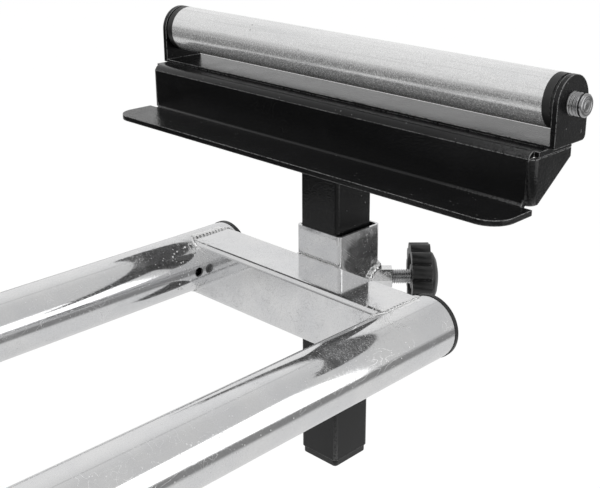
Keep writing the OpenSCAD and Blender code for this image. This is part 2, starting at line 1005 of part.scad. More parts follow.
main_tube_front();
main_tube_rear();
frame_crossmember_right();
frame_crossmember_left();
guide_bushes();
lock_forks();
lock_shoes();
leg_brackets();
leg_bolts();
leg_front_right();
leg_rear_right();
leg_front_left();
leg_rear_left();
foot_front_right();
foot_rear_right();
foot_front_left();
foot_rear_left();
leg_lever_front_right();
leg_lever_rear_right();
leg_lever_front_left();
leg_lever_rear_left();
mount_rail_right();
mount_rail_left();
extension_tube_front_right();
extension_tube_rear_right();
end_crossbar_right();
post_sleeve_right();
clamp_nut_right();
tube_end_caps_right();
extension_tube_front_left();
extension_tube_rear_left();
end_crossbar_left();
post_sleeve_left();
clamp_nut_left();
tube_end_caps_left();
support_post_right();
post_plug_right();
roller_bracket_right();
head_plate_right();
roller_ears_right();
roller_axle_right();
support_post_left();
post_plug_left();
roller_bracket_left();
head_plate_left();
roller_ears_left();
roller_axle_left();
roller_tube_right();
roller_end_caps_right();
roller_tube_left();
roller_end_caps_left();
clamp_pad_right();
clamp_screw_right();
clamp_knob_right();
clamp_pad_left();
clamp_screw_left();
clamp_knob_left();
lock_lever_right();
lock_lever_left();
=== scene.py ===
"""Miter saw stand: materials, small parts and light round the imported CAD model."""
import math
import random

import bmesh
import bpy
from mathutils import Matrix, Vector


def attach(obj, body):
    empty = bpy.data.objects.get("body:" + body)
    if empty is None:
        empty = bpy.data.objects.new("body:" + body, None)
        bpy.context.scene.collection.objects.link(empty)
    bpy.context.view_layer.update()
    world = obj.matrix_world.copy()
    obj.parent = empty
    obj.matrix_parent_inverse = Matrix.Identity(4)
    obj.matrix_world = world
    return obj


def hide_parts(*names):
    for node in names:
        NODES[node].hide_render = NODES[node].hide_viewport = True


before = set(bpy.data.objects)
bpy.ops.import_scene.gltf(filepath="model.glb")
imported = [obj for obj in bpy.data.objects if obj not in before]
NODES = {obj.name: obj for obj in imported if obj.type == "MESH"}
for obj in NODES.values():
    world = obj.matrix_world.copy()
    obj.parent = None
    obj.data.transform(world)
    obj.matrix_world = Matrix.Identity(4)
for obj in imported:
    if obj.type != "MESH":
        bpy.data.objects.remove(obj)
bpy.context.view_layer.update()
MM = 0.001
ENDS = ("right", "left")
CORNERS = ("front_right", "rear_right", "front_left", "rear_left")

# Sizes repeated from the CAD source, in millimetres
AXIS_H = 750.0
HALF_GAP = 112.5
END_X = 910.0
MAIN_R = 30.0
EXT_R = 24.0
BAR_IN, BAR_OUT = -45.0, -2.0
BAR_TOP, BAR_LOW, BAR_ROUND = 22.7, -25.3, 4.0
SLEEVE_X = 21.75
SLEEVE_HALF = 23.75
SLEEVE_ROUND = 3.4
NUT_R = 9.24
SCREW_R, SCREW_PITCH = 6.0, 1.75
SCREW_FROM, SCREW_TO = 28.65, 69.5
POST_X, POST_Y, POST_TOP = 20.3, 1.45, 142.5
ROLLER_X, ROLLER_Z = 29.4, 178.2
EAR_OUT, AXLE_TIP, AXLE_R = 200.0, 210.5, 8.0
VENT_X = BAR_IN - 5.5
CROSS_X, CROSS_HALF = 430.0, 20.0


# Camera

PHOTO_W = 600
FOCAL, CENTRE_X, CENTRE_Y, MIDDLE_Y = 1060.48, 363.72, 213.55, 244
CAMERA_AT = (0.34714, -0.54498, 1.08850)
CAMERA_TURN = (48.4524, 19.5311, 0.9244)


def make_camera():
    """The photo's camera, from its focal length and centre in pixels."""
    azimuth, down, roll = (math.radians(a) for a in CAMERA_TURN)
    forward = Vector((math.sin(azimuth) * math.cos(down), math.cos(azimuth) * math.cos(down),
                      -math.sin(down)))
    right = forward.cross(Vector((0, 0, 1))).normalized()
    up = right.cross(forward)
    right2 = right * math.cos(roll) + up * math.sin(roll)
    up2 = up * math.cos(roll) - right * math.sin(roll)
    data = bpy.data.cameras.new("camera")
    data.sensor_width = 36.0
    data.lens = FOCAL / PHOTO_W * data.sensor_width
    data.shift_x = (PHOTO_W / 2 - CENTRE_X) / PHOTO_W
    data.shift_y = (CENTRE_Y - MIDDLE_Y) / PHOTO_W
    data.clip_start, data.clip_end = 0.05, 60
    cam = bpy.data.objects.new("camera", data)
    bpy.context.scene.collection.objects.link(cam)
    basis = Matrix((right2, up2, -forward)).transposed().to_4x4()
    cam.matrix_world = Matrix.Translation(CAMERA_AT) @ basis
    bpy.context.scene.camera = cam


# Node helper

class Graph:
    """Short calls for building one node tree."""

    def __init__(self, tree):
        self.tree = tree
        tree.nodes.clear()

    def node(self, kind, inputs=None, **props):
        n = self.tree.nodes.new(kind)
        for key, value in props.items():
            setattr(n, key, value)
        for key, value in (inputs or {}).items():
            self.put(n.inputs[key], value)
        return n

    def put(self, socket, value):
        if isinstance(value, bpy.types.NodeSocket):
            self.tree.links.new(value, socket)
        else:
            socket.default_value = value

    def math(self, op, a, b=0.0, c=0.0, clamp=False):
        n = self.node("ShaderNodeMath", operation=op, use_clamp=clamp)
        for i, v in enumerate((a, b, c)):
            self.put(n.inputs[i], v)
        return n.outputs[0]

    def times(self, *values):
        out = values[0]
        for v in values[1:]:
            out = self.math("MULTIPLY", out, v)
        return out

    def vmath(self, op, a, b=(0, 0, 0)):
        n = self.node("ShaderNodeVectorMath", operation=op)
        self.put(n.inputs[0], a)
        self.put(n.inputs[1], b)
        return n.outputs["Value"] if op in ("DOT_PRODUCT", "LENGTH") else n.outputs["Vector"]

    def ramp(self, value, low, high, out_low=0.0, out_high=1.0, smooth=True):
        n = self.node("ShaderNodeMapRange", clamp=True,
                      interpolation_type="SMOOTHSTEP" if smooth else "LINEAR")
        for i, v in enumerate((value, low, high, out_low, out_high)):
            self.put(n.inputs[i], v)
        return n.outputs[0]

    def noise(self, vector, scale, detail=3.0, rough=0.5, stretch=None, distort=0.0):
        if stretch:
            vector = self.vmath("MULTIPLY", vector, stretch)
        return self.node("ShaderNodeTexNoise", {"Vector": vector, "Scale": scale, "Detail": detail,
                         "Roughness": rough, "Distortion": distort}).outputs["Fac"]

    def voronoi(self, vector, scale, stretch=None):
        if stretch:
            vector = self.vmath("MULTIPLY", vector, stretch)
        return self.node("ShaderNodeTexVoronoi", {"Vector": vector, "Scale": scale})

    def mix(self, factor, a, b):
        n = self.node("ShaderNodeMix", data_type="RGBA")
        self.put(n.inputs["Factor"], factor)
        self.put(n.inputs["A"], a)
        self.put(n.inputs["B"], b)
        return n.outputs["Result"]

    def blend(self, factor, a, b):
        n = self.node("ShaderNodeMix", data_type="FLOAT")
        self.put(n.inputs["Factor"], factor)
        self.put(n.inputs["A"], a)
        self.put(n.inputs["B"], b)
        return n.outputs["Result"]

    def bump(self, height, distance, strength=1.0, normal=None):
        n = self.node("ShaderNodeBump", {"Height": height, "Distance": distance, "Strength": strength})
        if normal:
            self.put(n.inputs["Normal"], normal)
        return n.outputs["Normal"]

    def object_coords(self):
        return self.node("ShaderNodeTexCoord").outputs["Object"]

    def xyz(self, vector):
        return self.node("ShaderNodeSeparateXYZ", {"Vector": vector}).outputs


def grey(v):
    return (v, v, v, 1.0)


def surface(name):
    mat = bpy.data.materials.new(name)
    mat.use_nodes = True
    g = Graph(mat.node_tree)
    shader = g.node("ShaderNodeBsdfPrincipled")
    out = g.node("ShaderNodeOutputMaterial")
    g.tree.links.new(shader.outputs[0], out.inputs["Surface"])
    return mat, g, shader


# Materials

def dust(g, at, scale, share):
    """Small round specks: 1 on a speck and 0 elsewhere."""
    cell = g.voronoi(at, scale)
    size = g.ramp(g.xyz(cell.outputs["Color"])[0], 1 - share, 1, 0.0, 0.32, smooth=False)
    return g.ramp(g.math("SUBTRACT", size, cell.outputs["Distance"]), 0.0, 0.06)


def grains(g, at, scale, share):
    """Random grains: a value from 0 to 1 on a share of the cells and 0 elsewhere."""
    cell = g.voronoi(at, scale).outputs["Color"]
    return g.ramp(g.xyz(cell)[1], 1 - share, 1.0, 0.0, 1.0, smooth=False)


def scratches(g, at, turn, scale, share):
    """Thin straight scratches along one direction: 1 on a scratch."""
    spun = g.node("ShaderNodeVectorRotate", {"Vector": at, "Angle": turn, "Axis": (0.3, 0.5, 0.8)},
                  rotation_type="AXIS_ANGLE").outputs[0]
    lines = g.noise(spun, scale, detail=0.0, stretch=(0.012, 1, 1))
    gate = g.noise(spun, scale * 0.08, detail=2.0)
    thin = g.ramp(g.math("ABSOLUTE", g.math("SUBTRACT", lines, 0.5)), 0.0, 0.009, 1.0, 0.0)
    return g.math("MULTIPLY", thin, g.ramp(gate, 1 - share, 1 - share + 0.06))


def edge_mask(g, radius):
    """A rounded normal, and 1 near a sharp edge."""
    soft = g.node("ShaderNodeBevel", {"Radius": radius}, samples=6).outputs[0]
    plain = g.node("ShaderNodeNewGeometry").outputs["True Normal"]
    return soft, g.ramp(g.vmath("DOT_PRODUCT", soft, plain), 0.90, 0.985, 1.0, 0.0)


def weld_heat(g, at):
    """Streaks fanning out of the welded corner beside each vent hole: 1 on a streak."""
    x, y, z = g.xyz(at)[0:3]
    from_end = g.math("SUBTRACT", (END_X + BAR_IN) * MM, g.math("ABSOLUTE", x))
    side = g.math("SUBTRACT", g.math("ABSOLUTE", y), (HALF_GAP - 10) * MM)
    up = g.math("SUBTRACT", z, (AXIS_H + 26) * MM)
    turn = g.math("ARCTAN2", g.math("SUBTRACT", side, from_end), up)
    reach = g.math("SQRT", g.math("ADD", g.math("MULTIPLY", side, side), g.math("MULTIPLY", up, up)))
    spot = g.node("ShaderNodeCombineXYZ", {"X": g.times(turn, 0.05), "Y": g.times(reach, 0.25), "Z": 0.0})
    streak = g.ramp(g.noise(spot.outputs[0], 260, detail=3.0, distort=0.4), 0.52, 0.66)
    near = g.ramp(g.math("ABSOLUTE", from_end), 0.0, 0.022, 1.0, 0.0)
    return g.times(streak, near, g.ramp(reach, 0.012, 0.034, 1.0, 0.0))


def plating(name, along, bright=0.80, heat=True):
    """Bright zinc plating with drawing lines along one axis, grains, stains, scratches and specks."""
    mat, g, s = surface(name)
    at = g.object_coords()
    line_stretch = tuple(0.02 if i == along else 1.0 for i in range(3))
    lines = g.noise(at, 1400, detail=2.0, stretch=line_stretch)
    bands = g.noise(at, 240, detail=2.0, stretch=line_stretch)
    stain = g.noise(at, 22, detail=5.0, rough=0.6)
    cloud = g.noise(at, 9, detail=2.0)
    grain = grains(g, at, 1700, 0.4)
    speck = dust(g, at, 620, 0.16)
    marks = g.math("MAXIMUM", scratches(g, at, 0.4, 260, 0.46), scratches(g, at, 1.9, 210, 0.44))
    marks = g.math("MAXIMUM", marks, scratches(g, at, 2.8, 330, 0.44))
    patch = g.ramp(g.noise(at, 34, detail=4.0, rough=0.65), 0.5, 0.68)
    dull = (bright * 0.92, bright * 0.925, bright * 0.94, 1)
    colour = g.mix(g.ramp(stain, 0.35, 0.7), grey(bright), dull)
    colour = g.mix(g.times(grain, 0.08), colour, grey(bright * 0.7))
    colour = g.mix(g.math("MAXIMUM", g.times(marks, 0.5), g.times(speck, 0.4)), colour, grey(0.95))
    rough = g.ramp(stain, 0.4, 0.75, 0.045, 0.10)
    rough = g.math("ADD", rough, g.times(lines, 0.03))
    rough = g.math("ADD", rough, g.times(grain, g.math("ADD", 0.08, g.times(patch, 0.16))))
    rough = g.math("ADD", rough, g.times(speck, 0.4))
    rough = g.math("ADD", rough, g.times(marks, 0.25), clamp=True)
    if heat:
        burn = weld_heat(g, at)
        colour = g.mix(burn, colour, grey(0.98))
        rough = g.math("ADD", rough, g.times(burn, 0.6), clamp=True)
    wave = g.bump(cloud, 0.00004)
    bump = g.bump(g.math("ADD", g.times(lines, 0.3), g.times(bands, 0.7)), 0.0000035, normal=wave)
    bump = g.bump(g.math("ADD", speck, marks), 0.000012, normal=bump)
    haze = g.math("ADD", g.times(patch, 0.10), g.math("ADD", g.times(grain, 0.12), g.times(speck, 0.5)))
    g.put(s.inputs["Base Color"], colour)
    g.put(s.inputs["Metallic"], g.math("SUBTRACT", 0.92, haze, clamp=True))
    g.put(s.inputs["Roughness"], rough)
    g.put(s.inputs["Normal"], bump)
    return mat


def weld_metal(name):
    """Plated weld bead, brighter on its ripples."""
    mat, g, s = surface(name)
    at = g.object_coords()
    fine = g.noise(at, 1100, detail=3.0, rough=0.6)
    soot = g.noise(at, 240, detail=4.0, rough=0.7)
    colour = g.mix(g.ramp(soot, 0.56, 0.78), grey(0.9), (0.45, 0.44, 0.43, 1))
    g.put(s.inputs["Base Color"], colour)
    g.put(s.inputs["Metallic"], 1.0)
    g.put(s.inputs["Roughness"], g.ramp(fine, 0.3, 0.7, 0.22, 0.42))
    g.put(s.inputs["Normal"], g.bump(fine, 0.00004))
    return mat


def galvanised(name):
    """Satin roller steel with zinc grains, drawn streaks and thin marks round the roller."""
    mat, g, s = surface(name)
    at = g.object_coords()
    mottle = g.noise(at, 900, detail=4.0, rough=0.7)
    grain = grains(g, at, 1500, 0.7)
    patch = g.noise(at, 28, detail=4.0, rough=0.6, stretch=(1, 0.4, 1))
    rings = g.noise(at, 160, detail=2.0, stretch=(0.04, 1, 0.04))
    ring = g.ramp(g.math("ABSOLUTE", g.math("SUBTRACT", rings, 0.5)), 0.0, 0.006, 1.0, 0.0)
    ring = g.math("MULTIPLY", ring, g.ramp(g.noise(at, 30, detail=1.0), 0.55, 0.62))
    chips = g.times(dust(g, at, 240, 0.05), g.ramp(patch, 0.4, 0.6))
    drawn = g.noise(at, 420, detail=2.0, stretch=(1, 0.015, 1))
    colour = g.mix(g.ramp(mottle, 0.38, 0.62), grey(0.80), grey(0.97))
    colour = g.mix(g.times(g.ramp(drawn, 0.5, 0.64), 0.35), colour, grey(0.62))
    colour = g.mix(g.times(g.ramp(patch, 0.5, 0.7), 0.25), colour, (0.72, 0.73, 0.74, 1))
    colour = g.mix(g.times(ring, 0.5), colour, grey(0.98))
    colour = g.mix(g.times(chips, 0.7), colour, grey(0.35))
    rough = g.math("ADD", g.ramp(mottle, 0.3, 0.7, 0.17, 0.07), g.times(grain, 0.20))
    rough = g.math("ADD", rough, g.ramp(patch, 0.45, 0.7, 0.0, 0.08), clamp=True)
    bump = g.bump(mottle, 0.000014)
    g.put(s.inputs["Base Color"], colour)
    g.put(s.inputs["Metallic"], g.math("SUBTRACT", 0.62, g.times(grain, 0.34)))
    g.put(s.inputs["Roughness"], rough)
    g.put(s.inputs["Normal"], g.bump(g.noise(at, 14, detail=1.0), 0.0002, normal=bump))
    return mat


def powder_coat(name, radius=0.0010):
    """Semi-gloss black powder coat with orange peel, rub marks, dust, and sharp edges painted lighter as a
    broken highlight line that also reads as worn paint.
    """
    mat, g, s = surface(name)
    at = g.object_coords()
    peel = g.noise(at, 700, detail=2.0, rough=0.5)
    wide = g.noise(at, 60, detail=3.0)
    rub = g.noise(at, 25, detail=5.0, rough=0.65)
    speck = dust(g, at, 420, 0.08)
    scuff = g.times(scratches(g, at, 1.1, 180, 0.40), 0.6)
    soft, edge = edge_mask(g, radius)
    broken = g.ramp(g.noise(at, 520, detail=3.0, rough=0.7), 0.38, 0.52)
    # Painted edge highlight, partly also worn paint: a noise-broken mask along sharp edges where the coat
    # turns lighter grey.
    worn_and_edge_highlight = g.times(edge, broken, g.ramp(rub, 0.26, 0.46))
    colour = g.mix(g.ramp(rub, 0.4, 0.75), (0.0052, 0.0053, 0.0056, 1), (0.0085, 0.0085, 0.009, 1))
    colour = g.mix(g.times(speck, 0.8), colour, grey(0.16))
    colour = g.mix(g.times(scuff, 0.4), colour, grey(0.10))
    # Edges go grey here: a painted highlight line, partly also worn paint.
    colour = g.mix(g.times(worn_and_edge_highlight, 0.9), colour, grey(0.42))
    rough = g.math("ADD", g.ramp(rub, 0.35, 0.75, 0.15, 0.24), g.times(peel, 0.05))
    rough = g.math("ADD", rough, g.times(worn_and_edge_highlight, 0.2))
    bump = g.bump(wide, 0.00012, normal=soft)
    bump = g.bump(peel, 0.00024, normal=bump)
    g.put(s.inputs["Base Color"], colour)
    g.put(s.inputs["Roughness"], rough)
    g.put(s.inputs["IOR"], 1.38)
    g.put(s.inputs["Normal"], g.bump(speck, 0.00005, normal=bump))
    return mat


def machined(name, bright, low, high, axis=1):
    """Zinc plated steel with turning lines across one axis."""
    mat, g, s = surface(name)
    at = g.object_coords()
    stretch = tuple(1.0 if i == axis else 0.15 for i in range(3))
    turning = g.noise(at, 1500, detail=2.0, stretch=stretch)
    stain = g.noise(at, 90, detail=5.0, rough=0.65)
    speck = dust(g, at, 900, 0.2)
    marks = scratches(g, at, 2.2, 420, 0.5)
    dull = (bright * 0.78, bright * 0.78, bright * 0.80, 1)
    colour = g.mix(g.ramp(stain, 0.35, 0.7), grey(bright), dull)
    colour = g.mix(g.times(marks, 0.6), colour, grey(0.95))
    rough = g.math("ADD", g.ramp(stain, 0.3, 0.75, low, high), g.times(turning, 0.12))
    g.put(s.inputs["Base Color"], colour)
    g.put(s.inputs["Metallic"], 1.0)
    g.put(s.inputs["Roughness"], g.math("ADD", rough, g.times(speck, 0.2), clamp=True))
    bump = g.bump(turning, 0.00002)
    g.put(s.inputs["Normal"], g.bump(stain, 0.0001, normal=bump))
    return mat


def moulded(name, tone, low, high, grain_scale, grain_depth):
    """Moulded plastic or rubber with a fine grain, patches, and sharp edges painted lighter as a broken
    highlight line that also reads as rubbed wear.
    """
    mat, g, s = surface(name)
    at = g.object_coords()
    grain = g.noise(at, grain_scale, detail=3.0, rough=0.6)
    rub = g.noise(at, 70, detail=4.0, rough=0.6)
    speck = dust(g, at, 700, 0.10)
    soft, edge = edge_mask(g, 0.0006)
    # Painted edge highlight, partly also rubbed wear: a noise-broken mask along sharp edges where the colour
    # turns lighter grey.
    worn_and_edge_highlight = g.times(edge, g.ramp(g.noise(at, 500, detail=3.0), 0.42, 0.6))
    colour = g.mix(g.ramp(rub, 0.35, 0.75), grey(tone), grey(tone * 1.7))
    colour = g.mix(g.times(speck, 0.6), colour, grey(0.14))
    colour = g.mix(g.times(worn_and_edge_highlight, 0.7), colour, grey(0.16))
    g.put(s.inputs["Base Color"], colour)
    g.put(s.inputs["Roughness"], g.ramp(rub, 0.3, 0.75, low, high))
    g.put(s.inputs["Normal"], g.bump(grain, grain_depth, normal=soft))
    return mat


def brass(name):
    mat, g, s = surface(name)
    at = g.object_coords()
    turning = g.noise(at, 1800, detail=2.0)
    tarnish = g.noise(at, 160, detail=4.0)
    colour = g.mix(g.ramp(tarnish, 0.35, 0.7), (0.72, 0.55, 0.26, 1), (0.46, 0.34, 0.16, 1))
    g.put(s.inputs["Base Color"], colour)
    g.put(s.inputs["Metallic"], 1.0)
    g.put(s.inputs["Roughness"], g.ramp(tarnish, 0.3, 0.8, 0.22, 0.42))
    g.put(s.inputs["Normal"], g.bump(turning, 0.00002))
    return mat


def dress(name, material):
    """Give a CAD node its material."""
    obj = NODES[name]
    for slot in obj.material_slots:
        slot.material = material


def soften(name, width=0.0005, segments=2, limit=30):
    """Round a CAD node's sharp edges a little."""
    obj = NODES[name]
    weld = obj.modifiers.new("weld", "WELD")
    weld.merge_threshold = 1e-5
    flat = obj.modifiers.new("flat", "DECIMATE")
    flat.decimate_type = "DISSOLVE"
    flat.angle_limit = 0.002
    edge = obj.modifiers.new("edge", "BEVEL")
    edge.width = width
    edge.segments = segments
    edge.limit_method = "ANGLE"
    edge.angle_limit = math.radians(limit)
    edge.harden_normals = True


SOFT_EDGES = {
    "roller_bracket_": 0.0010, "roller_ears_": 0.0008, "support_post_": 0.0004, "post_plug_": 0.0007,
    "head_plate_": 0.0005, "clamp_nut_": 0.0005, "clamp_knob_": 0.0008, "lock_lever_": 0.0006,
    "mount_rail_": 0.0005,
}
SOFT_FRAME = {
    "frame_crossmember_right": 0.0005, "frame_crossmember_left": 0.0005, "lock_forks": 0.0005,
    "leg_brackets": 0.0005, "leg_bolts": 0.0004,
}


def soften_all():
    for part, width in SOFT_EDGES.items():
        for e in ENDS:
            soften(part + e, width)
    for name, width in SOFT_FRAME.items():
        soften(name, width)
    for c in CORNERS:
        for part in ("leg_", "foot_", "leg_lever_"):
            soften(part + c, 0.0006)


def dress_all():
    coat = powder_coat("powder_coat")
    tube = plating("plated_tube", 0)
    cross = plating("plated_crossbar", 1, 0.82)
    upright = plating("plated_sleeve", 2, 0.82, heat=False)
    plastic = moulded("black_plastic", 0.011, 0.32, 0.5, 1600, 0.00003)
    rubber = moulded("black_rubber", 0.016, 0.6, 0.8, 900, 0.00008)
    zinc = machined("zinc_steel", 0.62, 0.16, 0.34)
    for name in ("main_tube_front", "main_tube_rear", "frame_crossmember_right",
                 "frame_crossmember_left", "leg_brackets"):
        dress(name, coat)
    dress("guide_bushes", plastic)
    dress("lock_forks", zinc)
    dress("leg_bolts", zinc)
    dress("lock_shoes", brass("brass_shoe"))
    for c in CORNERS:
        dress("leg_" + c, coat)
        dress("foot_" + c, rubber)
        dress("leg_lever_" + c, zinc)
    for e in ENDS:
        for part in ("mount_rail_", "support_post_", "roller_bracket_", "head_plate_", "roller_ears_"):
            dress(part + e, coat)
        for part in ("extension_tube_front_", "extension_tube_rear_"):
            dress(part + e, tube)
        dress("end_crossbar_" + e, cross)
        dress("post_sleeve_" + e, upright)
        dress("clamp_nut_" + e, upright)
        for part in ("tube_end_caps_", "post_plug_", "roller_end_caps_", "clamp_knob_", "lock_lever_"):
            dress(part + e, plastic)
        dress("clamp_pad_" + e, brass("brass_pad_" + e))
        dress("roller_tube_" + e, galvanised("galvanised_" + e))
    axle_steel = machined("axle_steel", 0.40, 0.10, 0.26)
    return zinc, weld_metal("weld_bead"), axle_steel


# Small parts

def finish_mesh(name, bm, material, smooth=True):
    bmesh.ops.recalc_face_normals(bm, faces=bm.faces)
    mesh = bpy.data.meshes.new(name)
    bm.to_mesh(mesh)
    bm.free()
    mesh.materials.append(material)
    if smooth:
        for face in mesh.polygons:
            face.use_smooth = True
    obj = bpy.data.objects.new(name, mesh)
    bpy.context.scene.collection.objects.link(obj)
    return obj


def to_world(e, point):
    """Millimetres in one end's own frame to metres in the world."""
    side = 1 if e == "right" else -1
    x, y, z = point
    return Vector((side * (END_X + x), side * y, AXIS_H + z)) * MM


def even_steps(path, closed, step):
    """Points every step millimetres along a path of (point, up) pairs."""
    pairs = list(path) + ([path[0]] if closed else [])
    out = []
    for (a, up_a), (b, up_b) in zip(pairs, pairs[1:]):
        count = max(1, round((Vector(b) - Vector(a)).length / step))
        for i in range(count):
            t = i / count
            out.append((Vector(a).lerp(Vector(b), t), Vector(up_a).lerp(Vector(up_b), t).normalized()))
    if not closed:
        out.append((Vector(pairs[-1][0]), Vector(pairs[-1][1]).normalized()))
    return out


def ring_points(centre, side, up, half_w, half_h, count):
    return [centre + side * (half_w * math.cos(2 * math.pi * k / count))
            + up * (half_h * math.sin(2 * math.pi * k / count)) for k in range(count)]


def bead(name, e, path, half_w, half_h, material, seed, closed=False, count=10, step=0.6, taper=4.0,
         ripples=0.10):
    """Rippled weld bead along a path of (point, up) pairs in millimetres."""
    rng = random.Random(seed)
    line = even_steps(path, closed, step)
    total = len(line)
    phase, wander = rng.uniform(0, 6), 0.0
    bm = bmesh.new()
    rings = []
    for i, (point, up) in enumerate(line):
        ahead = line[(i + 1) % total][0] if closed or i < total - 1 else point
        behind = line[i - 1][0] if closed or i > 0 else point
        along = (ahead - behind).normalized()
        side = along.cross(up).normalized()
        phase += rng.uniform(0.8, 1.5)
        wander = wander * 0.9 + rng.uniform(-0.05, 0.05) * half_w
        ripple = 1 + ripples * (math.sin(phase) + rng.uniform(-0.4, 0.4))
        edge = 1.0 if closed else min(1.0, (min(i, total - 1 - i) * step + 0.4) / taper)
        size = ripple * math.sqrt(edge)
        ring = ring_points(point + side * wander, side, up, half_w * size, half_h * size, count)
        rings.append([bm.verts.new(to_world(e, p)) for p in ring])
    pairs = list(zip(rings, rings[1:])) + ([(rings[-1], rings[0])] if closed else [])
    for a, b in pairs:
        for k in range(count):
            bm.faces.new((a[k], a[(k + 1) % count], b[(k + 1) % count], b[k]))
    if not closed:
        bm.faces.new(rings[0])
        bm.faces.new(list(reversed(rings[-1])))
    return finish_mesh(name, bm, material)


def saddle(z, radius):
    """Distance from a tube's axis to its surface at height z."""
    return math.sqrt(max(0.0, radius * radius - z * z))


def bar_profile():
    """Crossbar section (x, z) with rounded corners, clockwise from the outer top corner."""
    out = []
    r = BAR_ROUND
    corners = ((BAR_OUT, BAR_TOP, 0), (BAR_IN, BAR_TOP, 90), (BAR_IN, BAR_LOW, 180), (BAR_OUT, BAR_LOW, 270))
    for x, z, start in corners:
        cx = x - r if x == BAR_OUT else x + r
        cz = z - r if z == BAR_TOP else z + r
        for k in range(5):
            turn = math.radians(start + 22.5 * k)
            out.append((cx + r * math.cos(turn), cz + r * math.sin(turn)))
    return out


def bar_welds(e, metal):
    """One loop round each end of the crossbar, and a flat pass over its top."""
    loops = []
    for i, s in enumerate((-1, 1)):
        path = []
        for x, z in bar_profile():
            z = max(-EXT_R + 0.4, min(z, BAR_TOP))
            y = s * (HALF_GAP - saddle(z, EXT_R))
            middle_x, out_z = (BAR_IN + BAR_OUT) / 2, z
            away = Vector(((x - middle_x) / 21.5, -s * 0.7, out_z / 24.0)).normalized()
            path.append(((x, y, z), away))
        loops.append(bead("bar_weld_%s_%d" % (e, i), e, path, 1.9, 1.3, metal, 11 + i, closed=True))
        y = s * (HALF_GAP - 5.2)
        up = (0, -s * 0.24, 0.97)
        path = [((BAR_OUT - 4.5, y, 22.6), up), ((BAR_IN + 1.0, y, 22.6), up)]
        loops.append(bead("bar_top_weld_%s_%d" % (e, i), e, path, 4.0, 0.9, metal, 31 + i, count=16,
                          step=1.1, ripples=0.05))
    return loops


def spatter(e, metal):
    """Small weld drops on the tubes beside each inner corner."""
    out = []
    for i, s in enumerate((-1, 1)):
        rng = random.Random(91 + i)
        bm = bmesh.new()
        for _ in range(46):
            x = BAR_IN - 3 - rng.uniform(0, 1) ** 2 * 26
            turn = math.radians(rng.uniform(-35, 62))
            size = rng.uniform(0.35, 1.05)
            radius = EXT_R - 0.25 * size
            y, z = s * (HALF_GAP - radius * math.cos(turn)), radius * math.sin(turn)
            if math.hypot(x - VENT_X, z) < 6:
                continue
            made = bmesh.ops.create_icosphere(bm, subdivisions=2, radius=size * MM)
            for v in made["verts"]:
                v.co = v.co * (1 + 0.15 * rng.uniform(-1, 1)) + to_world(e, (x, y, z))
        out.append(finish_mesh("weld_drops_%s_%d" % (e, i), bm, metal))
    return out


def sleeve_welds(e, metal):
    """Bead where the sleeve meets the crossbar, and the fillet round the clamp nut."""
    top = BAR_TOP - 0.9
    path = [((BAR_OUT - 1.4, y, top), (-0.5, 0, 0.86)) for y in (-SLEEVE_HALF + 2, SLEEVE_HALF - 2)]
    out = [bead("sleeve_top_weld_" + e, e, path, 2.0, 1.5, metal, 51)]
    for i, s in enumerate((-1, 1)):
        y = s * (SLEEVE_HALF + 0.4)
        path = [((BAR_OUT + 0.6, y, z), (0.2, s, 0)) for z in (BAR_TOP - 3, BAR_LOW + 3)]
        out.append(bead("sleeve_side_weld_%s_%d" % (e, i), e, path, 1.8, 1.5, metal, 53 + i))
    diagonal = Vector((1, -1, 0)).normalized()
    level = Vector((1, 1, 0)).normalized()
    centre = Vector((SLEEVE_X, 0, 0))
    flat = SLEEVE_HALF * math.sqrt(2)
    path = []
    for k in range(24):
        turn = 2 * math.pi * k / 24
        w, v = (NUT_R + 0.4) * math.cos(turn), (NUT_R + 0.4) * math.sin(turn)
        reach = min(flat - (math.sqrt(2) - 1) * SLEEVE_ROUND, flat - abs(w))
        point = centre + diagonal * (reach + 0.8) + level * w + Vector((0, 0, v))
        away = (level * w + Vector((0, 0, v))).normalized() + diagonal * 0.9
        path.append((tuple(point), tuple(away)))
    out.append(bead("nut_weld_" + e, e, path, 2.9, 2.4, metal, 61, closed=True, count=12))
    corner = centre + diagonal * (flat - 1.4)
    path = [(tuple(corner + Vector((0, 0, z)) + diagonal * d), tuple(diagonal))
            for z, d in ((NUT_R - 1, 1.6), (NUT_R + 2.5, 0.7), (NUT_R + 5.5, -0.6))]
    out.append(bead("nut_weld_lump_" + e, e, path, 2.6, 2.2, metal, 67, count=12, taper=5.0))
    return out


def square_loop(x0, x1, y0, y1, z, r, up):
    """Rounded square path at one height, with outward leaning normals."""
    out = []
    corners = ((x1 - r, y1 - r, 0), (x0 + r, y1 - r, 90), (x0 + r, y0 + r, 180), (x1 - r, y0 + r, 270))
    for cx, cy, start in corners:
        for k in range(4):
            turn = math.radians(start + 30 * k)
            out.append(((cx + r * math.cos(turn), cy + r * math.sin(turn), z),
                        (math.cos(turn), math.sin(turn), up)))
    return out


def support_welds(e, metal):
    """Bead round the post under its head plate."""
    path = square_loop(POST_X - 20, POST_X + 20, POST_Y - 20, POST_Y + 20, POST_TOP, 3.0, -1.0)
    return [bead("post_weld_" + e, e, path, 1.7, 1.4, metal, 71, closed=True)]


def frame_welds(metal):
    """Beads between the crossmembers and the main tubes."""
    out = []
    for i, x in enumerate((-CROSS_X, CROSS_X)):
        for j, s in enumerate((-1, 1)):
            path = []
            for px, pz in ((1, 1), (0, 1), (-1, 1), (-1, 0), (-1, -1), (0, -1), (1, -1), (1, 0)):
                z = pz * (CROSS_HALF - 0.5)
                y = s * (HALF_GAP - saddle(z, MAIN_R))
                path.append(((x + px * CROSS_HALF - END_X, y, z), (px, -s * 0.6, pz)))
            out.append(bead("frame_weld_%d_%d" % (i, j), "right", path, 1.9, 1.5, metal, 81 + 2 * i + j,
                            closed=True, step=1.2))
    return out


def thread_radius(share, crest, root):
    """Radius of a thread at a share of its pitch: flat root, flank, flat crest, flank."""
    share = share % 1.0
    rise = min(max((share - 0.12) / 0.33, 0.0), 1.0) - min(max((share - 0.58) / 0.33, 0.0), 1.0)
    return root + (crest - root) * rise


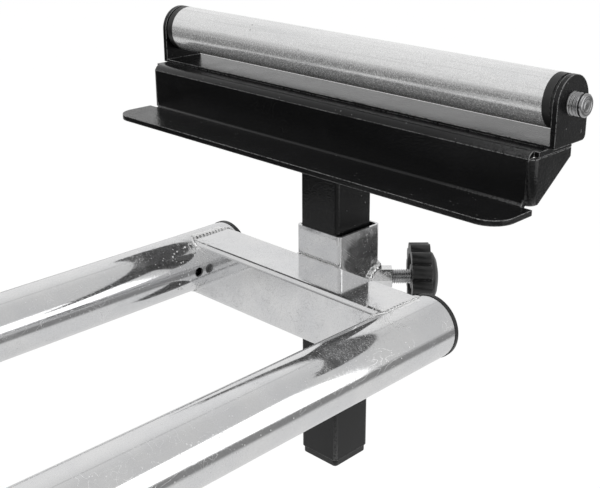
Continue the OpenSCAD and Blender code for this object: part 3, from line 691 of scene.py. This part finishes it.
def turned(name, e, origin, axis, stations, material, count=40):
    """Closed turned body: stations give (distance, radius or a thread's crest, root and pitch)."""
    axis = Vector(axis).normalized()
    side = axis.cross(Vector((0, 0, 1))).normalized()
    up = side.cross(axis)
    bm = bmesh.new()
    rings = []
    for distance, radius in stations:
        ring = []
        for k in range(count):
            turn = 2 * math.pi * k / count
            if isinstance(radius, tuple):
                crest, root, pitch = radius
                r = thread_radius(distance / pitch - k / count, crest, root)
            else:
                r = radius
            point = Vector(origin) + axis * distance + (side * math.cos(turn) + up * math.sin(turn)) * r
            ring.append(bm.verts.new(to_world(e, point)))
        rings.append(ring)
    for a, b in zip(rings, rings[1:]):
        for k in range(count):
            bm.faces.new((a[k], a[(k + 1) % count], b[(k + 1) % count], b[k]))
    bm.faces.new(rings[0])
    bm.faces.new(list(reversed(rings[-1])))
    return finish_mesh(name, bm, material)


def thread_stations(start, end, crest, root, pitch, per_turn=8):
    count = int((end - start) / pitch * per_turn)
    return [(start + (end - start) * i / count, (crest, root, pitch)) for i in range(count + 1)]


def clamp_screw(e, material):
    """Clamp screw with its thread."""
    root = SCREW_R - 0.85
    stations = [(SCREW_FROM, root - 0.6)]
    stations += thread_stations(SCREW_FROM + 0.6, SCREW_TO - 0.2, SCREW_R, root, SCREW_PITCH)
    stations += [(SCREW_TO, root)]
    obj = turned("clamp_thread_" + e, e, (SLEEVE_X, 0, 0), (1, -1, 0), stations, material)
    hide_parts("clamp_screw_" + e)
    return obj


def axle(e, material):
    """Axle with a short thread and a turned face on each stub."""
    root, pitch, r = AXLE_R - 1.1, 2.4, AXLE_R
    thread_end = AXLE_TIP - 3.6
    one = [(AXLE_TIP, 1.2), (AXLE_TIP, 3.4), (AXLE_TIP - 0.25, 3.9), (AXLE_TIP - 0.25, 5.0),
           (AXLE_TIP, 5.5), (AXLE_TIP, r - 0.9), (AXLE_TIP - 0.8, r), (thread_end + 0.6, r),
           (thread_end, root)]
    thread = thread_stations(EAR_OUT + 0.6, thread_end - 0.3, r, root, pitch)
    right = [(-d, radius) for d, radius in one] + [(-d, radius) for d, radius in reversed(thread)]
    stations = right + [(-EAR_OUT - 0.3, r), (-EAR_OUT, r), (EAR_OUT, r), (EAR_OUT + 0.3, r)]
    stations += thread + list(reversed(one))
    obj = turned("axle_detail_" + e, e, (ROLLER_X, 0, ROLLER_Z), (0, 1, 0), stations, material)
    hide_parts("roller_axle_" + e)
    return obj


def add_parts(zinc, metal, axle_steel):
    for e in ENDS:
        for obj in bar_welds(e, metal) + spatter(e, metal) + sleeve_welds(e, metal):
            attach(obj, "extension_" + e)
        for obj in support_welds(e, metal):
            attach(obj, "support_" + e)
        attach(clamp_screw(e, zinc), "clamp_knob_" + e)
        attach(axle(e, axle_steel), "support_" + e)
    for obj in frame_welds(metal):
        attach(obj, "frame")


# Light and floor

def add_area(name, at, target, width, height, level):
    """Soft lamp whose face has the given brightness."""
    data = bpy.data.lights.new(name, "AREA")
    data.shape = "RECTANGLE"
    data.size, data.size_y = width, height
    data.energy = level * math.pi * width * height
    lamp = bpy.data.objects.new(name, data)
    bpy.context.scene.collection.objects.link(lamp)
    lamp.location = at
    lamp.rotation_mode = "QUATERNION"
    lamp.rotation_quaternion = (Vector(target) - Vector(at)).to_track_quat("-Z", "Y")
    lamp.visible_camera = False
    return lamp


def make_world():
    """White to the camera; mirrors see a grey studio with darker zones instead."""
    world = bpy.data.worlds.new("studio")
    bpy.context.scene.world = world
    world.use_nodes = True
    g = Graph(world.node_tree)
    way = g.vmath("NORMALIZE", g.node("ShaderNodeTexCoord").outputs["Generated"])
    x, y, z = g.xyz(way)[0:3]
    # Paler behind the stand than in front of it
    level = g.ramp(y, -0.2, 0.5, 0.64, 0.78)
    behind = g.ramp(g.vmath("DOT_PRODUCT", way, (0.70, 0.63, 0.34)), 0.80, 0.97)
    level = g.blend(behind, level, 0.88)
    # Thin joint between the two ceiling panels
    joint = g.math("ABSOLUTE", g.math("SUBTRACT", g.math("DIVIDE", y, g.math("MAXIMUM", z, 0.05)), 0.30))
    joint = g.math("MULTIPLY", g.ramp(joint, 0.0, 0.05, 1.0, 0.0), g.ramp(z, 0.3, 0.5))
    level = g.blend(g.times(joint, 0.35), level, 0.1)
    # Darker room beyond the left side of the floor
    left = g.ramp(g.vmath("DOT_PRODUCT", way, (-0.74, 0.66, -0.12)), 0.80, 0.96)
    level = g.blend(g.times(left, g.ramp(z, 0.02, 0.3, 1.0, 0.0)), level, 0.25)
    path = g.node("ShaderNodeLightPath").outputs
    level = g.blend(path["Is Glossy Ray"], 0.72, level)
    level = g.blend(g.math("MAXIMUM", path["Is Camera Ray"], path["Is Transmission Ray"]), level, 1.0)
    shine = g.node("ShaderNodeBackground", {"Color": grey(1.0), "Strength": level})
    out = g.node("ShaderNodeOutputWorld")
    g.tree.links.new(shine.outputs[0], out.inputs["Surface"])


def make_floor():
    """Pale floor; mirrors see a pool of light painted on it as glow, with painted darker floor round the
    pool.
    """
    bm = bmesh.new()
    bmesh.ops.create_grid(bm, x_segments=8, y_segments=8, size=9.0)
    mesh = bpy.data.meshes.new("floor")
    bm.to_mesh(mesh)
    bm.free()
    floor = bpy.data.objects.new("floor", mesh)
    bpy.context.scene.collection.objects.link(floor)
    mat = bpy.data.materials.new("pale_floor")
    mat.use_nodes = True
    g = Graph(mat.node_tree)
    at = g.node("ShaderNodeNewGeometry").outputs["Position"]
    across = g.vmath("DOT_PRODUCT", at, (0.7071, -0.7071, 0.0))
    y = g.xyz(at)[1]
    # Painted pool of light: for reflected rays the floor's glow falls off away from the stand, giving a
    # painted darker floor beyond it.
    painted_light_pool = g.ramp(across, -1.62, -1.02, 0.06, 1.0)
    painted_light_pool = g.math("MULTIPLY", painted_light_pool, g.ramp(y, -1.45, -0.95, 0.3, 1.0))
    painted_light_pool = g.math("MAXIMUM", painted_light_pool, g.ramp(y, -4.5, -2.5, 0.6, 0.0))
    path = g.node("ShaderNodeLightPath").outputs
    seen = g.math("MAXIMUM", path["Is Camera Ray"], path["Is Transmission Ray"])
    glow = g.times(path["Is Glossy Ray"], painted_light_pool, 0.58)
    glow = g.math("MAXIMUM", g.times(seen, 0.70), glow)
    # For reflected rays the floor colour also darkens outside the painted pool of light: painted shade.
    tone = g.blend(path["Is Glossy Ray"], 0.42, g.times(painted_light_pool, 0.24))
    colour = g.node("ShaderNodeCombineColor", {0: tone, 1: tone, 2: tone}).outputs[0]
    plain = g.node("ShaderNodeBsdfDiffuse", {"Color": colour})
    light = g.node("ShaderNodeEmission", {"Color": grey(1.0), "Strength": glow})
    both = g.node("ShaderNodeAddShader")
    g.tree.links.new(plain.outputs[0], both.inputs[0])
    g.tree.links.new(light.outputs[0], both.inputs[1])
    out = g.node("ShaderNodeOutputMaterial")
    g.tree.links.new(both.outputs[0], out.inputs["Surface"])
    mesh.materials.append(mat)


def make_light():
    bpy.context.scene.view_settings.view_transform = "Standard"
    make_world()
    make_floor()
    add_area("side_softbox", (1.08, -1.16, 0.97), (0.38, -0.46, 0.97), 0.97, 0.70, 1.25)
    add_area("top_softbox", (0.2, -0.3, 2.9), (0.2, -0.1, 0.8), 2.2, 1.3, 0.8)


make_camera()
make_light()
zinc_steel, weld_steel, axle_steel = dress_all()
soften_all()
add_parts(zinc_steel, weld_steel, axle_steel)
